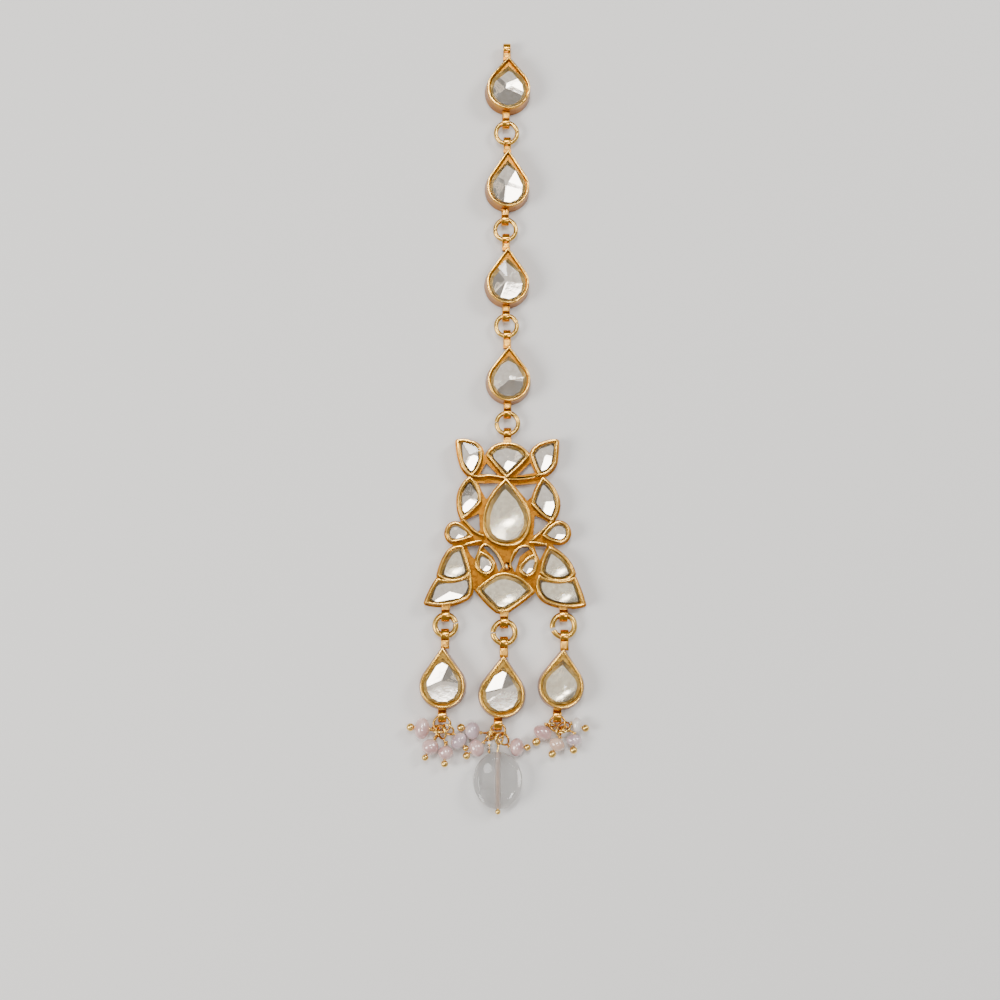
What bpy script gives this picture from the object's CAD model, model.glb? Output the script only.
"""Forehead ornament (maang tikka): gold box settings, foiled stones, pearls and a crystal.

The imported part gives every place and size. Pieces are modelled in millimetres and brought
to metres when they are handed over, so the lengths below are millimetres.
"""

import logging
from collections.abc import Callable, Iterator
from contextlib import contextmanager
from dataclasses import dataclass
from enum import Enum, IntEnum
from math import atan2, cos, pi, radians, sin, tan

import bmesh
import bpy
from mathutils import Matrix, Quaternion, Vector


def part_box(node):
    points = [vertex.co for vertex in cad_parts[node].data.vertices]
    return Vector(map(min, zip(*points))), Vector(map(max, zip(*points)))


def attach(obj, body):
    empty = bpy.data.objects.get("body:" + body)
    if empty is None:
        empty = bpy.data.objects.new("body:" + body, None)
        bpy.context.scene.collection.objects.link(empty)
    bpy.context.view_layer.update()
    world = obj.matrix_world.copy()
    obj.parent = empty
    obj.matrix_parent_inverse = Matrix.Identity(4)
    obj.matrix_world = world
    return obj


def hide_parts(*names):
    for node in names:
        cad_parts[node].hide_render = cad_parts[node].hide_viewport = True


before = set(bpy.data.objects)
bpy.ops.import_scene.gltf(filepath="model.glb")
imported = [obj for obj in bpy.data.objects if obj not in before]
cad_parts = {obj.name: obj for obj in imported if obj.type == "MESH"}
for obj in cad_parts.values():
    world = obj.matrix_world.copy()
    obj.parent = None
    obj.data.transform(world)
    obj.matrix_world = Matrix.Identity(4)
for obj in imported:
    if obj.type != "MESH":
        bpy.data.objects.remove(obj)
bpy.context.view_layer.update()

BODY = "root"
MM = 0.001              # one millimetre in metres
MERGE = 0.001           # corners of a node's loose triangles that are one corner
CUT_TOLERANCE = 0.00001
SPECK = 0.02            # edges shorter than this only hinder a rounding
SLIVER = 0.002          # faces narrower than this are dissolved
RIM_TURN = radians(35.0)    # least turn across an edge of a rim's top
UP = Vector((0.0, 0.0, 1.0))

log = logging.getLogger("ornament")

Colour = tuple[float, float, float]
Place = tuple[float, float, float]


# ---------------------------------------------------------------- helpers for modelling


def activate(piece: bpy.types.Object) -> None:
    """Make one object the only selected one, and the active one.

    Args:
        piece: the object that the next operators work on.
    """
    bpy.ops.object.select_all(action="DESELECT")
    piece.select_set(True)
    bpy.context.view_layer.objects.active = piece


@contextmanager
def editing(piece: bpy.types.Object, mode: str = "FACE") -> Iterator[None]:
    """Edit mode on one object, with nothing selected at the start.

    Args:
        piece: the object to edit.
        mode: what is selected, VERT, EDGE or FACE.
    """
    activate(piece)
    bpy.ops.object.mode_set(mode="EDIT")
    bpy.ops.mesh.select_mode(type=mode)
    bpy.ops.mesh.select_all(action="DESELECT")
    try:
        yield
    finally:
        bpy.ops.object.mode_set(mode="OBJECT")


def pick(piece: bpy.types.Object, kind: str, wanted: Callable[..., bool]) -> None:
    """Select the faces or edges that a rule wants, in edit mode.

    Args:
        piece: the object in edit mode.
        kind: faces or edges.
        wanted: the rule, which is given each face or edge.
    """
    mesh = bmesh.from_edit_mesh(piece.data)
    mesh.normal_update()
    for item in [item for item in getattr(mesh, kind) if wanted(item)]:
        item.select_set(True)
    bmesh.update_edit_mesh(piece.data)


def resize(piece: bpy.types.Object, factor: float) -> None:
    """Scale an object's mesh about the origin.

    Args:
        piece: the object, whose own scale stays 1.
        factor: how many times larger it becomes.
    """
    activate(piece)
    piece.scale = (factor, factor, factor)
    bpy.ops.object.transform_apply(location=False, rotation=False, scale=True)


def settle(piece: bpy.types.Object) -> None:
    """Apply an object's place, turn and scale to its mesh.

    Args:
        piece: the object to settle at the origin.
    """
    activate(piece)
    bpy.ops.object.transform_apply(location=True, rotation=True, scale=True)


def merged_copy(node: str, name: str) -> bpy.types.Object:
    """Copy a node of the part as a closed mesh in millimetres, its flats in one face each.

    Args:
        node: the node to copy.
        name: the new piece's name.

    Returns:
        The new object.
    """
    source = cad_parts[node]
    piece = bpy.data.objects.new(name, source.data.copy())
    bpy.context.scene.collection.objects.link(piece)
    piece.data.materials.clear()
    resize(piece, 1 / MM)
    with editing(piece):
        bpy.ops.mesh.select_all(action="SELECT")
        bpy.ops.mesh.customdata_custom_splitnormals_clear()
        bpy.ops.mesh.remove_doubles(threshold=MERGE)
        bpy.ops.mesh.dissolve_limited(angle_limit=radians(0.2))
        bpy.ops.mesh.normals_make_consistent(inside=False)
    return piece


def box_mm(node: str) -> tuple[Vector, Vector]:
    """Lowest and highest corners of a node, in millimetres.

    Args:
        node: the node to measure.

    Returns:
        The two corners.
    """
    low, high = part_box(node)
    return low / MM, high / MM


def saw(piece: bpy.types.Object, cuts: list[tuple[Vector, Vector]]) -> None:
    """Saw off what stands beyond each of several planes, and close every cut.

    Args:
        piece: the object to cut.
        cuts: a point of each plane, and the side of it that is thrown away.
    """
    with editing(piece):
        for point, normal in cuts:
            bpy.ops.mesh.select_all(action="SELECT")
            bpy.ops.mesh.bisect(
                plane_co=point, plane_no=normal, use_fill=True, clear_outer=True,
                threshold=CUT_TOLERANCE)


def finish_with(piece: bpy.types.Object, kind: str, **settings: object) -> None:
    """Add a modifier with the given settings and apply it.

    Args:
        piece: the object to work on.
        kind: the modifier's type.
        settings: values for the modifier's own properties.
    """
    activate(piece)
    modifier = piece.modifiers.new(kind.lower(), kind)
    for key, value in settings.items():
        setattr(modifier, key, value)
    bpy.ops.object.modifier_apply(modifier=modifier.name)


def soften_edges(piece: bpy.types.Object, width: float, segments: int = 2,
                 sharpest: float = 35.0) -> None:
    """Round every edge that is sharper than an angle.

    Args:
        piece: the object to soften.
        width: how far the rounding reaches from the edge.
        segments: faces across the rounding.
        sharpest: edges that turn by less than these degrees stay as they are.
    """
    finish_with(piece, "BEVEL", width=width, segments=segments, limit_method="ANGLE",
                angle_limit=radians(sharpest), use_clamp_overlap=True)


def soften_rims(piece: bpy.types.Object, width: float, low: float) -> None:
    """Round the edges along the tops of a piece's rims.

    Args:
        piece: the setting or frame.
        width: how far the rounding reaches from the edge.
        low: height above which an edge belongs to a rim's top.
    """
    with editing(piece, "EDGE"):
        bpy.ops.mesh.select_all(action="SELECT")
        bpy.ops.mesh.remove_doubles(threshold=SPECK)
        bpy.ops.mesh.select_all(action="DESELECT")
        pick(piece, "edges", lambda edge: edge.calc_face_angle(0.0) > RIM_TURN
             and all(vertex.co.z > low for vertex in edge.verts))
        bpy.ops.mesh.bevel(offset=width, segments=3, affect="EDGES", clamp_overlap=False)
        bpy.ops.mesh.select_all(action="SELECT")
        bpy.ops.mesh.dissolve_degenerate(threshold=SLIVER)


def join(parts: list[bpy.types.Object], name: str) -> bpy.types.Object:
    """Join several objects into the first one.

    Args:
        parts: the objects to join.
        name: the name of the joined piece.

    Returns:
        The joined object.
    """
    activate(parts[0])
    for part in parts[1:]:
        part.select_set(True)
    bpy.ops.object.join()
    parts[0].name = name
    return parts[0]


def waver(piece: bpy.types.Object, amount: float, grain: float) -> None:
    """Push a mesh's surface in and out a little, as handwork leaves it.

    Args:
        piece: the object to disturb.
        amount: how far it moves, from lowest to highest.
        grain: the size of the waves.
    """
    texture = bpy.data.textures.new(piece.name + "_waver", "CLOUDS")
    texture.noise_scale = grain
    finish_with(piece, "DISPLACE", texture=texture, texture_coords="LOCAL", strength=amount,
                mid_level=0.5)
    bpy.data.textures.remove(texture)


def smooth(piece: bpy.types.Object, sharpest: float = 40.0) -> None:
    """Shade a piece smooth, apart from edges sharper than an angle.

    Args:
        piece: the object to shade.
        sharpest: degrees past which an edge stays crisp.
    """
    activate(piece)
    bpy.ops.object.shade_smooth_by_angle(angle=radians(sharpest))


def coat(piece: bpy.types.Object, *materials: bpy.types.Material) -> None:
    """Give a piece its material slots.

    Args:
        piece: the piece.
        materials: the materials, in the order of the slots.
    """
    for material in materials:
        piece.data.materials.append(material)


def stocked(name: str, make: Callable[[], bpy.types.Object]) -> bpy.types.Object:
    """Copy a repeated item, which is modelled the first time that it is asked for.

    Args:
        name: the item's name.
        make: models the item at the origin.

    Returns:
        A copy at the origin, with its own mesh.
    """
    if name not in bpy.data.meshes:
        item = make()
        pattern = item.data
        pattern.name = name
        pattern.use_fake_user = True
        bpy.data.objects.remove(item)
    piece = bpy.data.objects.new(name, bpy.data.meshes[name].copy())
    piece.data.use_fake_user = False
    bpy.context.scene.collection.objects.link(piece)
    return piece


def hand_over(piece: bpy.types.Object, nodes: list[str]) -> None:
    """Bring a finished piece to metres and give it its place in the part.

    Args:
        piece: the finished piece, in millimetres.
        nodes: the nodes that it stands for.
    """
    settle(piece)
    resize(piece, MM)
    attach(piece, BODY)
    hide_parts(*nodes)
    log.info("%s: %d faces", piece.name, len(piece.data.polygons))


# ---------------------------------------------------------------- helpers for materials


def shader_group(name: str, inputs: dict[str, float], outputs: list[str]) -> bpy.types.NodeTree:
    """Start a shader node group with named value inputs and outputs.

    Args:
        name: the group's name.
        inputs: each input's name and usual value.
        outputs: each output's name.

    Returns:
        The group, with its input and output nodes in place.
    """
    group = bpy.data.node_groups.new(name, "ShaderNodeTree")
    for label, value in inputs.items():
        socket = group.interface.new_socket(name=label, in_out="INPUT",
                                            socket_type="NodeSocketFloat")
        socket.default_value = value
    for label in outputs:
        group.interface.new_socket(name=label, in_out="OUTPUT", socket_type="NodeSocketFloat")
    group.nodes.new("NodeGroupInput")
    group.nodes.new("NodeGroupOutput")
    return group


FINE_SHARE = 0.35       # height of the fine pits against the broad burnishing
WEAR_RANGE = (0.32, 0.7)    # noise values where wear begins and where it is full


def hand_worked_group() -> bpy.types.NodeTree:
    """Height and wear of hand-worked metal: broad burnishing with fine pits and scratches.

    Returns:
        The node group, built once and shared.
    """
    name = "hand_worked"
    if name in bpy.data.node_groups:
        return bpy.data.node_groups[name]
    group = shader_group(name, {"Broad": 900.0, "Fine": 5200.0}, ["Height", "Wear"])
    nodes, links = group.nodes, group.links
    given, result = nodes["Group Input"], nodes["Group Output"]
    coordinates = nodes.new("ShaderNodeTexCoord")
    broad = nodes.new("ShaderNodeTexNoise")
    broad.inputs["Detail"].default_value = 2.0
    fine = nodes.new("ShaderNodeTexNoise")
    fine.inputs["Detail"].default_value = 5.0
    fine.inputs["Roughness"].default_value = 0.6
    total = nodes.new("ShaderNodeMath")
    total.operation = "MULTIPLY_ADD"
    total.inputs[1].default_value = FINE_SHARE
    wear = nodes.new("ShaderNodeMapRange")
    wear.inputs["From Min"].default_value, wear.inputs["From Max"].default_value = WEAR_RANGE
    for texture, scale in ((broad, "Broad"), (fine, "Fine")):
        links.new(coordinates.outputs["Object"], texture.inputs["Vector"])
        links.new(given.outputs[scale], texture.inputs["Scale"])
    links.new(fine.outputs["Fac"], total.inputs[0])
    links.new(broad.outputs["Fac"], total.inputs[2])
    links.new(total.outputs["Value"], result.inputs["Height"])
    links.new(broad.outputs["Fac"], wear.inputs["Value"])
    links.new(wear.outputs["Result"], result.inputs["Wear"])
    return group


def height_mask_group() -> bpy.types.NodeTree:
    """How high a point lies above the table, from 0 at one height to 1 at another.

    Returns:
        The node group, built once and shared.
    """
    name = "height_mask"
    if name in bpy.data.node_groups:
        return bpy.data.node_groups[name]
    group = shader_group(name, {"Low": 0.0, "High": 0.003}, ["Mask"])
    nodes, links = group.nodes, group.links
    given, result = nodes["Group Input"], nodes["Group Output"]
    coordinates = nodes.new("ShaderNodeTexCoord")
    split = nodes.new("ShaderNodeSeparateXYZ")
    mask = nodes.new("ShaderNodeMapRange")
    mask.interpolation_type = "SMOOTHSTEP"
    links.new(coordinates.outputs["Object"], split.inputs["Vector"])
    links.new(split.outputs["Z"], mask.inputs["Value"])
    links.new(given.outputs["Low"], mask.inputs["From Min"])
    links.new(given.outputs["High"], mask.inputs["From Max"])
    links.new(mask.outputs["Result"], result.inputs["Mask"])
    return group


def new_material(name: str) -> tuple[bpy.types.Material, bpy.types.Node]:
    """Start a material.

    Args:
        name: the material's name.

    Returns:
        The material and its Principled shader.
    """
    material = bpy.data.materials.new(name)
    material.use_nodes = True
    return material, material.node_tree.nodes["Principled BSDF"]


def place_group(material: bpy.types.Material, group: bpy.types.NodeTree,
                **values: float) -> bpy.types.Node:
    """Put a node group into a material with its own values.

    Args:
        material: the material.
        group: the group.
        values: the group's inputs by name.

    Returns:
        The group node.
    """
    node = material.node_tree.nodes.new("ShaderNodeGroup")
    node.node_tree = group
    for label, value in values.items():
        node.inputs[label].default_value = value
    return node


def add_bump(material: bpy.types.Material, height: bpy.types.NodeSocket, shader: bpy.types.Node,
             strength: float, distance: float) -> None:
    """Let a height stand out as bump on a shader.

    Args:
        material: the material.
        height: the socket that gives the height.
        shader: the shader that receives the bump.
        strength: share of the bump that shows.
        distance: how high a full height is, in metres.
    """
    bump = material.node_tree.nodes.new("ShaderNodeBump")
    bump.inputs["Strength"].default_value = strength
    bump.inputs["Distance"].default_value = distance
    material.node_tree.links.new(height, bump.inputs["Height"])
    material.node_tree.links.new(bump.outputs["Normal"], shader.inputs["Normal"])


def add_mix(material: bpy.types.Material, factor: bpy.types.NodeSocket,
            first: Colour | bpy.types.NodeSocket, second: Colour) -> bpy.types.NodeSocket:
    """Mix two colours by a mask.

    Args:
        material: the material.
        factor: the mask, where 1 shows the second colour.
        first: a colour, or the socket of one.
        second: a colour.

    Returns:
        The socket of the mixed colour.
    """
    mix = material.node_tree.nodes.new("ShaderNodeMix")
    mix.data_type = "RGBA"
    material.node_tree.links.new(factor, mix.inputs["Factor"])
    if isinstance(first, tuple):
        mix.inputs[6].default_value = (*first, 1.0)
    else:
        material.node_tree.links.new(first, mix.inputs[6])
    mix.inputs[7].default_value = (*second, 1.0)
    return mix.outputs[2]


@dataclass(frozen=True)
class Gold:
    """Gilded metal, deep in its hollows and pale where it is burnished."""

    name: str
    deep: Colour
    body: Colour
    pale: Colour
    low: float              # height above the table where the deep tone ends
    high: float             # height at which the burnished tone is full
    roughness: float
    bump: float
    spread: tuple[float, float] = (0.8, 1.3)    # the roughness varies between these shares
    relief: float = 0.04    # height of the bump

    def make(self) -> bpy.types.Material:
        """Build the material.

        Returns:
            The material.
        """
        material, shader = new_material(self.name)
        links = material.node_tree.links
        worked = place_group(material, hand_worked_group())
        height = place_group(material, height_mask_group(), Low=self.low * MM,
                             High=self.high * MM)
        toned = add_mix(material, worked.outputs["Wear"], self.deep, self.body)
        colour = add_mix(material, height.outputs["Mask"], toned, self.pale)
        links.new(colour, shader.inputs["Base Color"])
        rough = material.node_tree.nodes.new("ShaderNodeMapRange")
        rough.inputs["To Min"].default_value = self.roughness * self.spread[0]
        rough.inputs["To Max"].default_value = self.roughness * self.spread[1]
        links.new(worked.outputs["Wear"], rough.inputs["Value"])
        links.new(rough.outputs["Result"], shader.inputs["Roughness"])
        shader.inputs["Metallic"].default_value = 1.0
        add_bump(material, worked.outputs["Height"], shader, self.bump, self.relief * MM)
        return material


@dataclass(frozen=True)
class Foil:
    """Crinkled metal foil behind a stone."""

    name: str
    colour: Colour
    tarnish: Colour
    roughness: float
    crinkle: float
    broad: float = 1300.0   # scale of the broad crinkle, for each metre
    fine: float = 4500.0
    relief: float = 0.05

    def make(self) -> bpy.types.Material:
        """Build the material.

        Returns:
            The material.
        """
        material, shader = new_material(self.name)
        links = material.node_tree.links
        worked = place_group(material, hand_worked_group(), Broad=self.broad, Fine=self.fine)
        colour = add_mix(material, worked.outputs["Wear"], self.tarnish, self.colour)
        links.new(colour, shader.inputs["Base Color"])
        shader.inputs["Metallic"].default_value = 1.0
        shader.inputs["Roughness"].default_value = self.roughness
        add_bump(material, worked.outputs["Height"], shader, self.crinkle,
                 self.relief * MM)
        return material


@dataclass(frozen=True)
class Glass:
    """Clear stone: glass or rock crystal."""

    name: str
    tint: Colour
    index: float
    roughness: float
    bump: float
    clearness: float = 1.0
    broad: float = 260.0
    fine: float = 2600.0
    relief: float = 0.02

    def make(self) -> bpy.types.Material:
        """Build the material.

        Returns:
            The material.
        """
        material, shader = new_material(self.name)
        shader.inputs["Base Color"].default_value = (*self.tint, 1.0)
        shader.inputs["Metallic"].default_value = 0.0
        shader.inputs["Transmission Weight"].default_value = self.clearness
        shader.inputs["IOR"].default_value = self.index
        shader.inputs["Roughness"].default_value = self.roughness
        worked = place_group(material, hand_worked_group(), Broad=self.broad, Fine=self.fine)
        add_bump(material, worked.outputs["Height"], shader, self.bump, self.relief * MM)
        return material


@dataclass(frozen=True)
class Nacre:
    """Freshwater pearl: soft skin with a faint bloom of a second tint."""

    name: str
    skin: Colour
    bloom: Colour
    roughness: float = 0.22
    gloss: float = 0.9
    coat_roughness: float = 0.045
    coat_index: float = 1.75
    sheen: float = 0.15
    bump: float = 0.12
    broad: float = 420.0
    fine: float = 3000.0
    relief: float = 0.03

    def make(self) -> bpy.types.Material:
        """Build the material.

        Returns:
            The material.
        """
        material, shader = new_material(self.name)
        links = material.node_tree.links
        worked = place_group(material, hand_worked_group(), Broad=self.broad, Fine=self.fine)
        colour = add_mix(material, worked.outputs["Wear"], self.skin, self.bloom)
        links.new(colour, shader.inputs["Base Color"])
        shader.inputs["Roughness"].default_value = self.roughness
        shader.inputs["Specular IOR Level"].default_value = self.gloss
        shader.inputs["Coat Weight"].default_value = 1.0
        shader.inputs["Coat Roughness"].default_value = self.coat_roughness
        shader.inputs["Coat IOR"].default_value = self.coat_index
        shader.inputs["Sheen Weight"].default_value = self.sheen
        add_bump(material, worked.outputs["Height"], shader, self.bump, self.relief * MM)
        return material


@dataclass(frozen=True)
class Finishes:
    """Every material of the ornament, made once."""

    wall: bpy.types.Material
    burnished: bpy.types.Material
    solder: bpy.types.Material
    packed: bpy.types.Material
    knot: bpy.types.Material
    ring: bpy.types.Material
    pin: bpy.types.Material
    silver_foil: bpy.types.Material
    soft_foil: bpy.types.Material
    gold_foil: bpy.types.Material
    stone: bpy.types.Material
    bead: bpy.types.Material
    crystal: bpy.types.Material
    drilled: bpy.types.Material
    pink: bpy.types.Material
    lilac: bpy.types.Material
    white: bpy.types.Material
    peach: bpy.types.Material


def make_finishes() -> Finishes:
    """Build every finish of the ornament.

    Returns:
        The materials by name.
    """
    return Finishes(
        wall=Gold("satin_gold", (0.30, 0.10, 0.006), (0.44, 0.18, 0.014),
                  (0.62, 0.29, 0.03), 1.8, 3.6, 0.28, 0.4).make(),
        burnished=Gold("burnished_gold", (0.66, 0.30, 0.035), (0.90, 0.47, 0.07),
                       (0.99, 0.58, 0.12), 2.3, 3.2, 0.17, 0.6).make(),
        solder=Gold("solder_gold", (0.55, 0.20, 0.02), (0.78, 0.37, 0.05),
                    (0.92, 0.53, 0.11), 1.4, 2.6, 0.34, 0.7).make(),
        packed=Gold("packed_gold", (0.40, 0.20, 0.03), (0.62, 0.37, 0.08),
                    (0.74, 0.48, 0.14), 2.6, 3.4, 0.26, 0.9).make(),
        knot=Gold("knot_gold", (0.90, 0.60, 0.25), (0.96, 0.70, 0.34),
                  (0.98, 0.76, 0.40), 1.0, 2.0, 0.36, 0.4).make(),
        ring=Gold("ring_gold", (0.36, 0.17, 0.016), (0.56, 0.30, 0.042),
                  (0.80, 0.48, 0.10), 0.9, 1.8, 0.24, 0.3).make(),
        pin=Gold("pin_gold", (0.55, 0.25, 0.03), (0.84, 0.47, 0.08),
                 (0.98, 0.66, 0.19), 1.2, 2.4, 0.2, 0.25).make(),
        silver_foil=Foil("silver_foil", (0.98, 0.92, 0.83), (0.85, 0.77, 0.66), 0.04,
                         0.035).make(),
        soft_foil=Foil("soft_foil", (0.98, 0.91, 0.74), (0.84, 0.74, 0.55), 0.11, 0.1).make(),
        gold_foil=Foil("gold_foil", (1.0, 0.86, 0.50), (0.97, 0.73, 0.32), 0.34, 0.6).make(),
        stone=Glass("stone_glass", (1.0, 0.985, 0.97), 1.55, 0.01, 0.05).make(),
        bead=Glass("bead_glass", (1.0, 0.99, 0.98), 1.5, 0.02, 0.1).make(),
        crystal=Glass("rock_crystal", (0.89, 0.88, 0.87), 1.54, 0.0, 0.12).make(),
        drilled=Glass("drilled_crystal", (0.92, 0.80, 0.74), 1.45, 0.6, 0.8, 0.45).make(),
        pink=Nacre("pink_pearl", (0.50, 0.25, 0.24), (0.86, 0.60, 0.55)).make(),
        lilac=Nacre("lilac_pearl", (0.42, 0.29, 0.33), (0.74, 0.58, 0.60)).make(),
        white=Nacre("white_pearl", (0.70, 0.62, 0.57), (0.88, 0.82, 0.77)).make(),
        peach=Nacre("peach_pearl", (0.68, 0.41, 0.29), (0.84, 0.60, 0.46)).make(),
    )


# ---------------------------------------------------------------- eyelets and settings


EYE_BAND = 0.43         # thickness of an eyelet's band
BAND_SIDES = 48         # faces round it
BAND_ROUNDING = 0.17    # how far its edges are rounded
BAND_WAVER = (0.05, 0.8)    # unevenness of a band, and of a neck: its amount and grain
NECK_WAVER = (0.12, 0.6)
END_FACING = 0.9        # least sideways part of an end face's normal
EYE_HEIGHT = 1.3        # the eyelets' holes above the table
CHAIN_EYE = (1.4, 1.05)     # width and outer radius of an eyelet in the chain
DROP_EYE = (1.5, 1.18)      # and of one at the drops
NECK_WIDTH = 0.98       # a neck's width and height, as shares of its eyelet's width
NECK_HEIGHT = 0.92
NECK_WAIST = (0.9, 1.0, 0.86)   # how far the middle of a neck is drawn in
WAIST_PLACE = 0.35      # where the waist lies, as a share of the neck
WAIST_REACH = 0.2       # faces this near the waist are drawn in
NECK_LAP = 0.4          # how far a neck runs into its box
SHORTEST_NECK = 0.8
TOP_FACING = 0.8        # least upward part of a top face's normal
LEDGE_REACH = 0.15      # how far from its ledge's height packed gold is still found


class Zone(IntEnum):
    """Material slot of each zone of a setting or the frame."""

    WALL = 0
    SOLDER = 1
    RIM = 2
    LEDGE = 3
    KNOT = 4


@dataclass
class Eyelet:
    """Barrel-shaped loop that stands on edge, on a short neck towards its box."""

    x: float
    y: float
    z: float
    width: float
    outer: float
    towards: float          # +1 where its neck points up the ornament, -1 where down
    neck: float = 1.35      # length of the neck from the inside of the band

    def build(self, finishes: Finishes) -> bpy.types.Object:
        """Put the loop and its neck together.

        Args:
            finishes: the materials.

        Returns:
            The loop, with its neck, as one object.
        """
        loop = stocked(f"band_{self.outer:.2f}", lambda: self.build_band(finishes))
        loop.location = (self.x, self.y, self.z)
        settle(loop)
        return join([loop, self.build_neck(finishes)], "eyelet")

    def build_band(self, finishes: Finishes) -> bpy.types.Object:
        """Model the rounded band of the loop at the origin.

        Args:
            finishes: the materials.

        Returns:
            The band.
        """
        bpy.ops.mesh.primitive_cylinder_add(
            vertices=BAND_SIDES, radius=self.outer, depth=self.width,
            rotation=(0.0, radians(90.0), 0.0))
        loop = bpy.context.active_object
        coat(loop, finishes.burnished)
        settle(loop)
        with editing(loop):
            pick(loop, "faces", lambda face: abs(face.normal.x) > END_FACING)
            bpy.ops.mesh.inset(thickness=EYE_BAND)
            bpy.ops.mesh.bridge_edge_loops()
            bpy.ops.mesh.select_all(action="SELECT")
            bpy.ops.mesh.normals_make_consistent(inside=False)
        soften_edges(loop, BAND_ROUNDING, 4)
        waver(loop, *BAND_WAVER)
        return loop

    def build_neck(self, finishes: Finishes) -> bpy.types.Object:
        """Model the soldered neck: a block with its edges melted round.

        Args:
            finishes: the materials.

        Returns:
            The neck.
        """
        start = self.y + self.towards * (self.outer - EYE_BAND)
        bpy.ops.mesh.primitive_cube_add(
            size=1.0, location=(self.x, start + self.towards * self.neck / 2, self.z))
        neck = bpy.context.active_object
        neck.scale = (self.width * NECK_WIDTH, self.neck, self.width * NECK_HEIGHT)
        coat(neck, finishes.solder)
        settle(neck)
        with editing(neck):
            bpy.ops.mesh.select_all(action="SELECT")
            bpy.ops.mesh.subdivide(number_cuts=2)
            bpy.ops.mesh.select_all(action="DESELECT")
            waist = start + self.towards * self.neck * WAIST_PLACE
            pick(neck, "faces",
                 lambda face: abs(face.calc_center_median().y - waist) < WAIST_REACH)
            bpy.ops.transform.resize(value=NECK_WAIST, center_override=(self.x, start, self.z))
        finish_with(neck, "SUBSURF", levels=2, render_levels=2)
        waver(neck, *NECK_WAVER)
        return neck


def mark_tops(piece: bpy.types.Object, height: float, reach: float, zone: Zone) -> None:
    """Give the upward faces near one height to a zone.

    Args:
        piece: the setting or frame.
        height: the middle height of the faces.
        reach: how far above or below it a face still counts.
        zone: the zone that they join.
    """
    for face in piece.data.polygons:
        if abs(face.center.z - height) < reach and face.normal.z > TOP_FACING:
            face.material_index = zone


@dataclass
class BoxSetting:
    """Open box of sheet gold with a strip rim round its stone, and its two eyelets."""

    node: str
    eye_width: float
    eye_outer: float
    edge: float = 0.11      # how far the rim's edges are rubbed round
    rim_low: float = 2.75   # lowest height of the rim's top
    rim_reach: float = 0.5  # half the height over which the rim's top leans
    ledge: float = 2.2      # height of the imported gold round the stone
    foot: float = 0.32      # how far the wall's foot stands out past the rim

    def eye_places(self) -> list[tuple[float, float]]:
        """Find the eyelets' middles from the ends of the node.

        Returns:
            The places across and along, upper eyelet first.
        """
        low, high = box_mm(self.node)
        corners = [vertex.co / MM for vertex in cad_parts[self.node].data.vertices]
        places = []
        for end, inward in ((high.y, -1.0), (low.y, 1.0)):
            across = [co.x for co in corners if abs(co.y - end) < self.eye_outer]
            places.append(((min(across) + max(across)) / 2, end + inward * self.eye_outer))
        return places

    def build(self, finishes: Finishes) -> bpy.types.Object:
        """Model the box and its eyelets.

        Args:
            finishes: the materials.

        Returns:
            The finished setting.
        """
        box = merged_copy(self.node, self.node.replace("setting", "box"))
        coat(box, finishes.wall, finishes.solder, finishes.burnished, finishes.packed)
        loops = []
        rim = [vertex.co.y for vertex in box.data.vertices if vertex.co.z > self.rim_low]
        ends = (max(rim) + self.foot, min(rim) - self.foot)
        for (x, y), cut, away in zip(self.eye_places(), ends, (1.0, -1.0)):
            saw(box, [(Vector((x, cut, 0.0)), Vector((0.0, away, 0.0)))])
            neck = max(abs(y - cut) - self.eye_outer + EYE_BAND + NECK_LAP, SHORTEST_NECK)
            loops.append(Eyelet(x, y, EYE_HEIGHT, self.eye_width, self.eye_outer, -away,
                                neck).build(finishes))
        soften_rims(box, self.edge, self.rim_low)
        mark_tops(box, self.rim_low + self.rim_reach, self.rim_reach, Zone.RIM)
        mark_tops(box, self.ledge, LEDGE_REACH, Zone.LEDGE)
        piece = join([box, *loops], box.name)
        smooth(piece)
        hand_over(piece, [self.node])
        return piece


# ---------------------------------------------------------------- stones


PEAK_DEPTH = 0.02       # the peak lies this much below the rough stone's top
FLASH_SECTOR = 60.0     # degrees kept for the facet that catches the lamp
UNEVEN = 0.25           # share by which the facets' falls differ
UNEVEN_STEP = 2.4       # radians from one facet's difference to the next
FLAT_UP = 0.99          # least part along the stone's axis of a flat end's normal
TOP_UP = 0.3            # and of a face that belongs to the glass top
DOME_SIDES = 24         # flats round a soft stone's dome
DOME_RINGS = 7
DOME_FALL = 0.8         # share of the dome's reach where its fall suits the lamp
SLOPE_HEIGHT = 0.8      # height of the gilded slope, as a share of the girdle's
CRISP_SLOPES = 12
DOME_CREASE = 7.0       # degrees past which an edge of a soft stone stays crisp


class Cut(Enum):
    """How a stone's top is worked."""

    CRISP = "crisp"         # sharp facets
    SOFT = "soft"           # facets rubbed nearly into a dome


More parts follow.
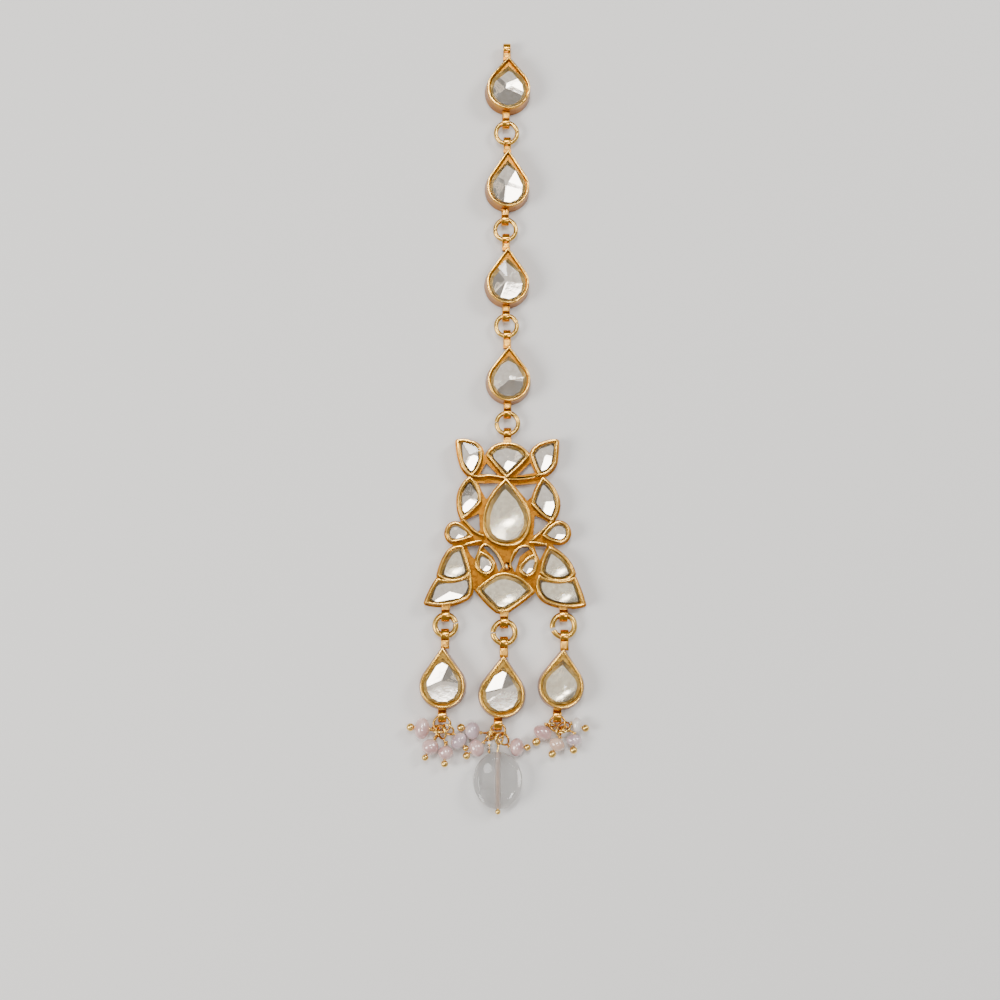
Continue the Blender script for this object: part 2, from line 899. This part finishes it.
@dataclass
class Stone:
    """Foil-backed stone: a faceted glass top, gilded sides and a silvered back."""

    node: str
    cut: Cut = Cut.CRISP
    turn: float = 0.0       # direction of the first facet, degrees
    count: int = 6          # facets beside the one that catches the lamp
    peak: tuple[float, float] = (0.0, 0.0)      # share of half the stone's size
    slope: float = 8.0      # degrees that the facets fall
    second: bool = False    # whether an upper facet catches the low window
    dome: float = 0.8       # where a soft stone's flash lies, as a share of half the stone
    shallow: float = 0.05   # fall of a soft stone's dome away from its flash
    depth: float = 0.85     # height of the girdle over the back
    collar: float = 0.2     # width of the gilded slope, as a share of half the stone

    def frame_of(self, stone: bpy.types.Object) -> tuple[Vector, Vector, Vector, Vector]:
        """Find how the stone lies, from its flat back.

        Args:
            stone: the stone's mesh.

        Returns:
            The middle of its back, its upward direction, and its box's corners.
        """
        back = min(stone.data.polygons, key=lambda face: face.normal.z)
        low, high = box_mm(self.node)
        return back.center.copy(), -back.normal, low, high

    def build(self, finishes: Finishes) -> bpy.types.Object:
        """Model the stone.

        Args:
            finishes: the materials.

        Returns:
            The finished stone.
        """
        stone = merged_copy(self.node, self.node.replace("stone", "foiled"))
        back, up, low, high = self.frame_of(stone)
        turn = UP.rotation_difference(up)
        height = high.z - back.z
        saw(stone, [(back + up * self.depth, up)])
        with editing(stone):
            pick(stone, "faces", lambda face: face.normal.dot(up) > FLAT_UP)
            bpy.ops.mesh.extrude_region_move(
                TRANSFORM_OT_translate={"value": up * height})
        middle = (low + high) / 2
        half = (high - low) / 2
        peak = Vector((middle.x + self.peak[0] * half.x, middle.y + self.peak[1] * half.y,
                       high.z - PEAK_DEPTH))
        if self.cut is Cut.SOFT:
            saw(stone, self.rubbed_top(peak, half, up, turn))
        else:
            saw(stone, self.faceted_top(peak, up, turn))
        saw(stone, self.sloped_back(stone, back, up, turn, self.collar * min(half.x, half.y)))
        if self.cut is Cut.SOFT:
            smooth(stone, DOME_CREASE)
        else:
            activate(stone)
            bpy.ops.object.shade_flat()
        self.dress(stone, up, finishes)
        hand_over(stone, [self.node])
        return stone

    def faceted_top(self, peak: Vector, up: Vector,
                    turn: Quaternion) -> list[tuple[Vector, Vector]]:
        """Work out the facets of a crisp top, the ones that catch a lamp first.

        Args:
            peak: the highest point of the stone.
            up: the direction that its back faces away from.
            turn: the turn from upright to that direction.

        Returns:
            A point and an outward direction for each facet.
        """
        tilts = [lamp_tilt(peak, up, window_over(peak))]
        heading = atan2(tilts[0].y, tilts[0].x)
        if self.second:
            tilts.append(lamp_tilt(peak, up, LOW_WINDOW))
        spread = radians((360.0 - FLASH_SECTOR) / self.count)
        for number in range(self.count):
            angle = heading + radians(FLASH_SECTOR + self.turn) + number * spread
            uneven = 1.0 + UNEVEN * sin(UNEVEN_STEP * number + self.turn)
            steep = tan(radians(self.slope * uneven))
            tilts.append(Vector((steep * cos(angle), steep * sin(angle))))
        return [(peak, turn @ Vector((tilt.x, tilt.y, 1.0)).normalized()) for tilt in tilts]

    def rubbed_top(self, peak: Vector, half: Vector, up: Vector,
                   turn: Quaternion) -> list[tuple[Vector, Vector]]:
        """Work out the many small flats of a top that is rubbed into a dome.

        The dome falls most where it catches the lamp, and stays shallow elsewhere.

        Args:
            peak: the highest point of the stone.
            half: half the stone's size.
            up: the direction that its back faces away from.
            turn: the turn from upright to that direction.

        Returns:
            A point and an outward direction for each flat.
        """
        tilt = lamp_tilt(peak, up, window_over(peak))
        heading = atan2(tilt.y, tilt.x)
        reach = self.dome * min(half.x, half.y)
        steepest = tilt.length / DOME_FALL
        flats = []
        for ring in range(1, DOME_RINGS + 1):
            share = ring / (DOME_RINGS - 1)
            for number in range(DOME_SIDES):
                angle = 2.0 * pi * (number + ring / 2) / DOME_SIDES
                towards = max(0.0, cos(angle - heading)) ** 2
                fall = (self.shallow + (steepest - self.shallow) * towards) * share
                side = Vector((cos(angle), sin(angle), 0.0))
                point = peak + turn @ (side * reach * share) - up * fall * reach * share / 2
                flats.append((point, turn @ (side * fall + UP).normalized()))
        return flats

    def sloped_back(self, stone: bpy.types.Object, back: Vector, up: Vector, turn: Quaternion,
                    width: float) -> list[tuple[Vector, Vector]]:
        """Work out the slopes under the girdle that carry the gilded foil.

        Args:
            stone: the stone's mesh.
            back: the middle of its back.
            up: its upward direction.
            turn: the turn from upright to that direction.
            width: how wide the slopes are, seen from above.

        Returns:
            A point and an outward direction for each slope.
        """
        corners = [vertex.co - back for vertex in stone.data.vertices]
        steep = atan2(self.depth * SLOPE_HEIGHT, width)
        slopes = []
        around = CRISP_SLOPES if self.cut is Cut.CRISP else DOME_SIDES
        for number in range(around):
            angle = radians(self.turn) + 2.0 * pi * number / around
            outward = turn @ Vector((cos(angle), sin(angle), 0.0))
            reach = max(corner.dot(outward) for corner in corners)
            point = back + outward * reach + up * self.depth * SLOPE_HEIGHT
            slopes.append((point, outward * sin(steep) - up * cos(steep)))
        return slopes

    def dress(self, stone: bpy.types.Object, up: Vector, finishes: Finishes) -> None:
        """Give the top glass, the sides gilded foil and the back silvered foil.

        Args:
            stone: the stone's mesh.
            up: its upward direction.
            finishes: the materials.
        """
        foil = finishes.soft_foil if self.cut is Cut.SOFT else finishes.silver_foil
        coat(stone, finishes.stone, foil, finishes.gold_foil)
        for face in stone.data.polygons:
            facing = face.normal.dot(up)
            if facing > TOP_UP:
                face.material_index = 0
            elif facing < -FLAT_UP:
                face.material_index = 1
            else:
                face.material_index = 2


# ---------------------------------------------------------------- rings and pins


WIRE_SIDES = 20         # faces round a jump ring's wire
RING_STEPS = 72         # and along the ring
CUT_ROUNDING = 0.06     # how far the edges of its cut are rounded
RING_WAVER = (0.03, 0.9)    # unevenness of the ring: its amount and grain
WIRE_CREASE = 50.0      # degrees past which an edge of drawn wire or a pearl stays crisp
COIL_SIDES = 10
COIL_STEPS = 18         # for each turn of a coil
COIL_PITCH = 1.15       # rise of one turn, in wires
COIL_STAND = 0.8        # from the coil's end to its pearl, in wires


@dataclass
class JumpRing:
    """Hand-cut ring of round wire, lying through two eyelets."""

    node: str
    cut: float              # direction of the cut from the ring's middle, degrees
    width: float            # width of the cut

    def build(self, finishes: Finishes) -> bpy.types.Object:
        """Model the ring.

        Args:
            finishes: the materials.

        Returns:
            The finished ring.
        """
        low, high = box_mm(self.node)
        middle = (low + high) / 2
        wire = high.z - low.z
        radius = (high.y - low.y - wire) / 2
        gap = self.width / radius
        start = radians(self.cut) + gap / 2
        place = middle + Vector((cos(start), sin(start), 0.0)) * radius
        bpy.ops.mesh.primitive_circle_add(
            vertices=WIRE_SIDES, radius=wire / 2, fill_type="NGON", location=place,
            rotation=(radians(90.0), 0.0, start))
        ring = bpy.context.active_object
        ring.name = self.node.replace("ring", "link")
        coat(ring, finishes.ring)
        settle(ring)
        with editing(ring):
            bpy.ops.mesh.select_all(action="SELECT")
            bpy.ops.mesh.spin(steps=RING_STEPS, angle=radians(360.0) - gap, center=middle,
                              axis=(0.0, 0.0, 1.0))
            bpy.ops.mesh.select_all(action="SELECT")
            bpy.ops.mesh.normals_make_consistent(inside=False)
        soften_edges(ring, CUT_ROUNDING)
        waver(ring, *RING_WAVER)
        smooth(ring)
        hand_over(ring, [self.node])
        return ring


@dataclass
class Wrap:
    """Wire coiled round a head pin's stem, just before its pearl."""

    pearl: str
    heading: float          # direction of the stem towards its ball, degrees
    turns: int = 2
    wire: float = 0.18
    coil: float = 0.27      # from the stem's middle to the coiled wire's

    def build(self, finishes: Finishes) -> bpy.types.Object:
        """Put the coil round its stem.

        Args:
            finishes: the materials.

        Returns:
            The coil, closed at both ends.
        """
        rise = self.turns * self.wire * COIL_PITCH
        coil = stocked(f"coil_{self.turns}", lambda: self.build_coil(finishes, rise))
        low, high = box_mm(self.pearl)
        middle = (low + high) / 2
        stem = Vector((cos(radians(self.heading)), sin(radians(self.heading)), 0.0))
        corners = [vertex.co / MM - middle
                   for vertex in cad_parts[self.pearl].data.vertices]
        near = min(corner.dot(stem) for corner in corners)
        coil.rotation_euler = stem.to_track_quat("Z", "Y").to_euler()
        coil.location = middle + stem * (near - rise - self.wire * COIL_STAND)
        settle(coil)
        return coil

    def build_coil(self, finishes: Finishes, rise: float) -> bpy.types.Object:
        """Model the coiled wire at the origin, standing upright.

        Args:
            finishes: the materials.
            rise: how far the coil climbs.

        Returns:
            The coil, closed at both ends.
        """
        bpy.ops.mesh.primitive_circle_add(
            vertices=COIL_SIDES, radius=self.wire / 2, location=(self.coil, 0.0, 0.0),
            rotation=(radians(90.0), 0.0, 0.0))
        coil = bpy.context.active_object
        coat(coil, finishes.pin)
        settle(coil)
        steps = COIL_STEPS * self.turns
        finish_with(coil, "SCREW", angle=2.0 * pi * self.turns, screw_offset=rise,
                    steps=steps, render_steps=steps)
        with editing(coil):
            bpy.ops.mesh.select_all(action="SELECT")
            bpy.ops.mesh.fill_holes(sides=0)
            bpy.ops.mesh.normals_make_consistent(inside=False)
        return coil


@dataclass
class WirePiece:
    """Small ring or group of head pins, drawn from wire."""

    node: str
    name: str
    swell: float = 0.03     # gilding over the wire
    wraps: tuple[Wrap, ...] = ()

    def build(self, finishes: Finishes) -> bpy.types.Object:
        """Model the wires from the node and smooth them.

        Args:
            finishes: the materials.

        Returns:
            The finished wires.
        """
        piece = merged_copy(self.node, self.name)
        coat(piece, finishes.pin)
        finish_with(piece, "DISPLACE", strength=self.swell, mid_level=0.0)
        piece = join([piece, *(wrap.build(finishes) for wrap in self.wraps)], piece.name)
        smooth(piece, WIRE_CREASE)
        hand_over(piece, [self.node])
        return piece


# ---------------------------------------------------------------- pearls and crystal


@dataclass
class Pearl:
    """Freshwater pearl, a little uneven, drilled along its pin."""

    node: str
    slot: str
    lumps: float = 0.1      # how far the lumps stand out, from lowest to highest
    grain: float = 1.3      # their size

    def build(self, material: bpy.types.Material) -> bpy.types.Object:
        """Model the pearl.

        Args:
            material: its skin.

        Returns:
            The finished pearl.
        """
        pearl = merged_copy(self.node, self.node + "_skin")
        coat(pearl, material)
        waver(pearl, self.lumps, self.grain)
        smooth(pearl, WIRE_CREASE)
        hand_over(pearl, [self.node])
        return pearl


@dataclass
class CrystalBead:
    """Tumbled egg of rock crystal with a frosted drill hole."""

    node: str
    bore: float = 0.5
    lip: float = 0.025      # frosted edge round the bore
    edge: float = 0.25      # how far the bead's edges are tumbled round
    sharpest: float = 20.0  # degrees past which an edge is tumbled

    def build(self, finishes: Finishes) -> bpy.types.Object:
        """Model the bead and frost its drill hole.

        Args:
            finishes: the materials.

        Returns:
            The finished bead.
        """
        egg = merged_copy(self.node, "crystal_egg")
        low, high = box_mm(self.node)
        axis = (low + high) / 2
        coat(egg, finishes.crystal, finishes.drilled)
        soften_edges(egg, self.edge, 3, self.sharpest)
        for face in egg.data.polygons:
            away = Vector((face.center.x - axis.x, face.center.z - axis.z))
            if away.length < self.bore + self.lip:
                face.material_index = 1
        smooth(egg)
        hand_over(egg, [self.node])
        return egg


# ---------------------------------------------------------------- studio


VIEW_TARGET = Vector((0.385, -14.925, 3.0))     # the camera looks at it
VIEW_DISTANCE = 320.0
VIEW_TILT = 6.5         # degrees from straight above
VIEW_PLACE = VIEW_TARGET + VIEW_DISTANCE * Vector(
    (0.0, -sin(radians(VIEW_TILT)), cos(radians(VIEW_TILT))))
LAMP_HEIGHT = 620.0


@dataclass(frozen=True)
class Lamp:
    """Soft round light."""

    name: str
    place: Place
    size: float
    power: float
    colour: Colour = (1.0, 1.0, 1.0)

    def build(self, target: Vector) -> None:
        """Hang the light and aim it.

        Args:
            target: the point that it shines on.
        """
        position = Vector(self.place)
        bpy.ops.object.light_add(type="AREA", location=position * MM)
        light = bpy.context.active_object
        light.name = self.name
        light.rotation_euler = (target - position).to_track_quat("-Z", "Y").to_euler()
        light.data.shape = "DISK"
        light.data.size = self.size * MM
        light.data.energy = self.power
        light.data.color = self.colour


WINDOW = Lamp("window", (-55.0, 175.0, LAMP_HEIGHT), 95.0, 0.8)
HIGH_WINDOW = Lamp("high_window", (12.0, 300.0, LAMP_HEIGHT), 95.0, 0.8)
LEFT_FILL = Lamp("left_fill", (-460.0, -120.0, 400.0), 300.0, 2.9, (1.0, 0.97, 0.93))
RIGHT_FILL = Lamp("right_fill", (430.0, 260.0, 420.0), 220.0, 1.8, (1.0, 0.98, 0.96))
LOW_WINDOW = Lamp("low_window", (110.0, -185.0, LAMP_HEIGHT), 85.0, 0.5)
CEILING = Lamp("ceiling", (0.0, 95.0, LAMP_HEIGHT + 20.0), 430.0, 0.29, (1.0, 0.985, 0.965))
LAMPS = (WINDOW, HIGH_WINDOW, LOW_WINDOW, LEFT_FILL, RIGHT_FILL, CEILING)
CHAIN_START = 2.0       # how far up the ornament the chain begins


def window_over(place: Vector) -> Lamp:
    """Choose the window that a stone mirrors: in the chain it is the high one.

    Args:
        place: where the stone is.

    Returns:
        The window.
    """
    return HIGH_WINDOW if place.y > CHAIN_START else WINDOW


def lamp_tilt(place: Vector, up: Vector, lamp: Lamp) -> Vector:
    """Work out how a stone's facet must fall to throw a window's light to the eye.

    Light passes the facet, is thrown back by the flat foil and passes the facet again, so
    the ray turns against the facet's fall by as much as the facet falls.

    Args:
        place: where the stone is.
        up: the direction that its back faces away from.
        lamp: the window.

    Returns:
        How much the facet falls to +X and to +Y.
    """
    to_eye = VIEW_PLACE - place
    to_lamp = Vector(lamp.place) - place
    view = Vector((to_eye.x / to_eye.z, to_eye.y / to_eye.z))
    light = Vector((to_lamp.x / to_lamp.z, to_lamp.y / to_lamp.z))
    lean = Vector((up.x / up.z, up.y / up.z))
    return 2.0 * lean - view - light


@dataclass
class Studio:
    """Pale floor, soft light and the camera."""

    floor_size: float = 6000.0
    floor_gap: float = 0.02
    paper: Colour = (0.88, 0.875, 0.86)
    paper_roughness: float = 0.9
    sky: Colour = (0.33, 0.32, 0.31)
    lens: float = 64.0
    sensor: float = 36.0
    nearest: float = 10.0   # what is nearer to the camera than this isn't drawn

    def build(self) -> None:
        """Set up the floor, the lights and the camera."""
        self.build_floor()
        world = bpy.data.worlds.new("studio")
        world.use_nodes = True
        background = world.node_tree.nodes["Background"]
        background.inputs["Color"].default_value = (*self.sky, 1.0)
        bpy.context.scene.world = world
        for lamp in LAMPS:
            lamp.build(VIEW_TARGET)
        self.build_camera()

    def build_floor(self) -> None:
        """Lay the plain pale floor."""
        bpy.ops.mesh.primitive_plane_add(size=self.floor_size * MM,
                                         location=(0.0, 0.0, -self.floor_gap * MM))
        floor = bpy.context.active_object
        floor.name = "floor"
        settle(floor)
        material, shader = new_material("floor_paper")
        shader.inputs["Base Color"].default_value = (*self.paper, 1.0)
        shader.inputs["Roughness"].default_value = self.paper_roughness
        coat(floor, material)

    def build_camera(self) -> None:
        """Place the camera above the ornament, a little towards its drops."""
        bpy.ops.object.camera_add(location=VIEW_PLACE * MM,
                                  rotation=(radians(VIEW_TILT), 0.0, 0.0))
        camera = bpy.context.active_object
        camera.data.lens = self.lens
        camera.data.sensor_width = self.sensor
        camera.data.clip_start = self.nearest * MM
        bpy.context.scene.camera = camera


# ---------------------------------------------------------------- the ornament


CHAIN = ("1", "2", "3", "4")
SIDES = ("left", "centre", "right")

STONES = [
    Stone("chain_stone_1", turn=10.0, count=5, peak=(-0.1, 0.1)),
    Stone("chain_stone_2", turn=-5.0, count=5, peak=(-0.05, 0.0)),
    Stone("chain_stone_3", turn=20.0, count=6, peak=(0.0, 0.05)),
    Stone("chain_stone_4", turn=0.0, count=6, peak=(0.05, 0.05)),
    Stone("stone_crown_left", turn=5.0, count=4, peak=(0.0, 0.2)),
    Stone("stone_crown_centre", turn=15.0, count=5, peak=(-0.05, 0.1)),
    Stone("stone_crown_right", turn=-10.0, count=4, peak=(0.0, 0.2)),
    Stone("stone_shoulder_left", turn=0.0, count=6, peak=(0.0, 0.05), second=True),
    Stone("stone_shoulder_right", turn=10.0, count=5),
    Stone("stone_heart", Cut.SOFT, turn=12.0, dome=0.65, peak=(-0.1, 0.0)),
    Stone("stone_bud_left", turn=0.0, count=4),
    Stone("stone_bud_right", turn=20.0, count=5),
    Stone("stone_wing_upper_left", Cut.SOFT),
    Stone("stone_wing_upper_right", Cut.SOFT, turn=9.0),
    Stone("stone_wing_lower_left", turn=10.0, count=4, peak=(0.0, 0.1)),
    Stone("stone_wing_lower_right", Cut.SOFT, turn=4.0, dome=0.9, peak=(0.1, 0.1)),
    Stone("stone_seed_left", turn=0.0, count=4),
    Stone("stone_seed_right", turn=20.0, count=4),
    Stone("stone_base", Cut.SOFT, turn=15.0, peak=(0.0, 0.1)),
    Stone("drop_stone_left", turn=0.0, count=6, second=True),
    Stone("drop_stone_centre", turn=30.0, count=5, peak=(0.05, 0.05), second=True),
    Stone("drop_stone_right", Cut.SOFT, turn=10.0, dome=0.6, peak=(0.1, -0.1)),
]

RINGS = [
    JumpRing("jump_ring_1", 0.0, 0.12),
    JumpRing("jump_ring_2", 180.0, 0.12),
    JumpRing("jump_ring_3", 10.0, 0.15),
    JumpRing("jump_ring_4", 172.0, 0.12),
    JumpRing("drop_ring_left", 8.0, 0.15),
    JumpRing("drop_ring_centre", 176.0, 0.2),
    JumpRing("drop_ring_right", 183.0, 0.5),
]

WRAPS = {
    "left": (Wrap("pearl_left_1", 175.0, 1), Wrap("pearl_left_2", 242.0),
             Wrap("pearl_left_3", 267.0, 3), Wrap("pearl_left_4", 310.0, 2)),
    "centre": (Wrap("pearl_centre_1", 166.0, 1), Wrap("pearl_centre_2", 220.0, 1),
               Wrap("pearl_centre_3", 355.0, 1)),
    "right": (Wrap("pearl_right_1", 248.0, 2), Wrap("pearl_right_2", 246.0, 1),
              Wrap("pearl_right_3", 268.0, 1), Wrap("pearl_right_4", 344.0, 1)),
}

PEARL_TINTS = {
    "pearl_left_1": "pink", "pearl_left_2": "pink", "pearl_left_3": "pink",
    "pearl_left_4": "lilac", "pearl_centre_1": "lilac", "pearl_centre_2": "pink",
    "pearl_centre_3": "pink", "seed_pearl": "white", "pearl_right_1": "pink",
    "pearl_right_2": "peach", "pearl_right_3": "lilac", "pearl_right_4": "white",
}


@dataclass
class Pendant:
    """The soldered plate that carries the rims of the pendant's cells."""

    node: str = "pendant_frame"
    ledge: float = 1.95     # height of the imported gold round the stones
    knot: float = 0.85      # radius of the solder knot
    knot_height: float = 1.2
    knot_stand: float = 1.9     # from the base stone to the knot's middle, in its radii
    knot_reach: float = 1.15    # faces this near belong to the knot, in its radii
    rim_top: float = 3.0
    rim_reach: float = 0.4  # how far from that height a rim's top is still found
    rim_low: float = 2.7    # height above which an edge belongs to a rim's top
    edge: float = 0.09      # how far the rims' edges are rubbed round
    slack: float = 0.11     # how far an eyelet's hole lies inside its ring's middle line
    clearing: float = 3.0   # size of the block taken out for each eyelet
    clearance: float = 0.1  # how far behind the eyelet the block begins
    neck_reach: float = 2.4     # faces this near an eyelet belong to its neck
    neck_low: float = 2.1   # if they are lower than this
    neck_margin: float = 0.05   # and no further to the side of the eyelet
    eyes: tuple[str, ...] = ("jump_ring_4", "drop_ring_left", "drop_ring_centre",
                             "drop_ring_right")

    def knot_place(self) -> Vector:
        """Find the solder knot between the two curls, just above the base stone.

        Returns:
            The knot's middle.
        """
        low, high = box_mm("stone_base")
        return Vector(((low.x + high.x) / 2, high.y + self.knot * self.knot_stand,
                       self.knot_height))

    def eye_places(self) -> list[tuple[float, float, tuple[float, float], float]]:
        """Find the frame's eyelets from the rings that pass through them.

        Returns:
            Each eyelet's place across and along, its width and outer radius, and +1 where
            it points up the ornament or -1 where down.
        """
        places = []
        for node in self.eyes:
            low, high = box_mm(node)
            wire = high.z - low.z
            reach = (high.y - low.y - wire) / 2 - self.slack
            middle = (low + high) / 2
            up = node.startswith("drop")
            places.append((middle.x, middle.y + (reach if up else -reach),
                           DROP_EYE if up else CHAIN_EYE, -1.0 if up else 1.0))
        return places

    def build(self, finishes: Finishes) -> bpy.types.Object:
        """Model the frame, with rounded eyelets in place of its plain ones.

        Args:
            finishes: the materials.

        Returns:
            The finished frame.
        """
        piece = merged_copy(self.node, "pendant_plate")
        coat(piece, finishes.wall, finishes.solder, finishes.burnished, finishes.packed,
             finishes.knot)
        loops = []
        for x, y, (width, outer), away in self.eye_places():
            near = y - away * (outer + self.clearance)
            bpy.ops.mesh.primitive_cube_add(
                size=self.clearing, location=(x, near + away * self.clearing / 2, EYE_HEIGHT))
            cutter = bpy.context.active_object
            settle(cutter)
            finish_with(piece, "BOOLEAN", object=cutter, operation="DIFFERENCE", solver="EXACT")
            bpy.data.objects.remove(cutter)
            loops.append(Eyelet(x, y, EYE_HEIGHT, width, outer, -away).build(finishes))
        soften_rims(piece, self.edge, self.rim_low)
        mark_tops(piece, self.rim_top, self.rim_reach, Zone.RIM)
        mark_tops(piece, self.ledge, LEDGE_REACH, Zone.LEDGE)
        knot = self.knot_place()
        necks = [(x, y, width / 2 + self.neck_margin)
                 for x, y, (width, _), _ in self.eye_places()]
        for face in piece.data.polygons:
            if (face.center - knot).length < self.knot * self.knot_reach:
                face.material_index = Zone.KNOT
            elif face.center.z < self.neck_low and any(
                    abs(face.center.x - x) < half and abs(face.center.y - y) < self.neck_reach
                    for x, y, half in necks):
                face.material_index = Zone.SOLDER
        piece = join([piece, *loops], piece.name)
        smooth(piece)
        hand_over(piece, [self.node])
        return piece


def build_clusters(finishes: Finishes) -> None:
    """Model the small rings, head pins, pearls, beads and the crystal.

    Args:
        finishes: the materials.
    """
    for side in SIDES:
        WirePiece("cluster_ring_" + side, "small_ring_" + side).build(finishes)
        WirePiece("head_pins_" + side, "pearl_pins_" + side,
                  wraps=WRAPS[side]).build(finishes)
    WirePiece("crystal_pin", "long_pin").build(finishes)
    for node, tint in PEARL_TINTS.items():
        slot = "pearl_pink" if tint == "peach" else "pearl_" + tint
        Pearl(node, slot).build(getattr(finishes, tint))
    Pearl("clear_bead", "clear_glass", lumps=0.03).build(finishes.bead)
    CrystalBead("crystal_bead").build(finishes)


def main() -> None:
    """Build the ornament and the studio."""
    logging.basicConfig(level=logging.INFO, format="%(message)s")
    finishes = make_finishes()
    for number in CHAIN:
        BoxSetting("chain_setting_" + number, *CHAIN_EYE).build(finishes)
    for side in SIDES:
        BoxSetting("drop_setting_" + side, *DROP_EYE).build(finishes)
    Pendant().build(finishes)
    for stone in STONES:
        stone.build(finishes)
    for ring in RINGS:
        ring.build(finishes)
    build_clusters(finishes)
    Studio().build()


if __name__ == "__main__":
    main()
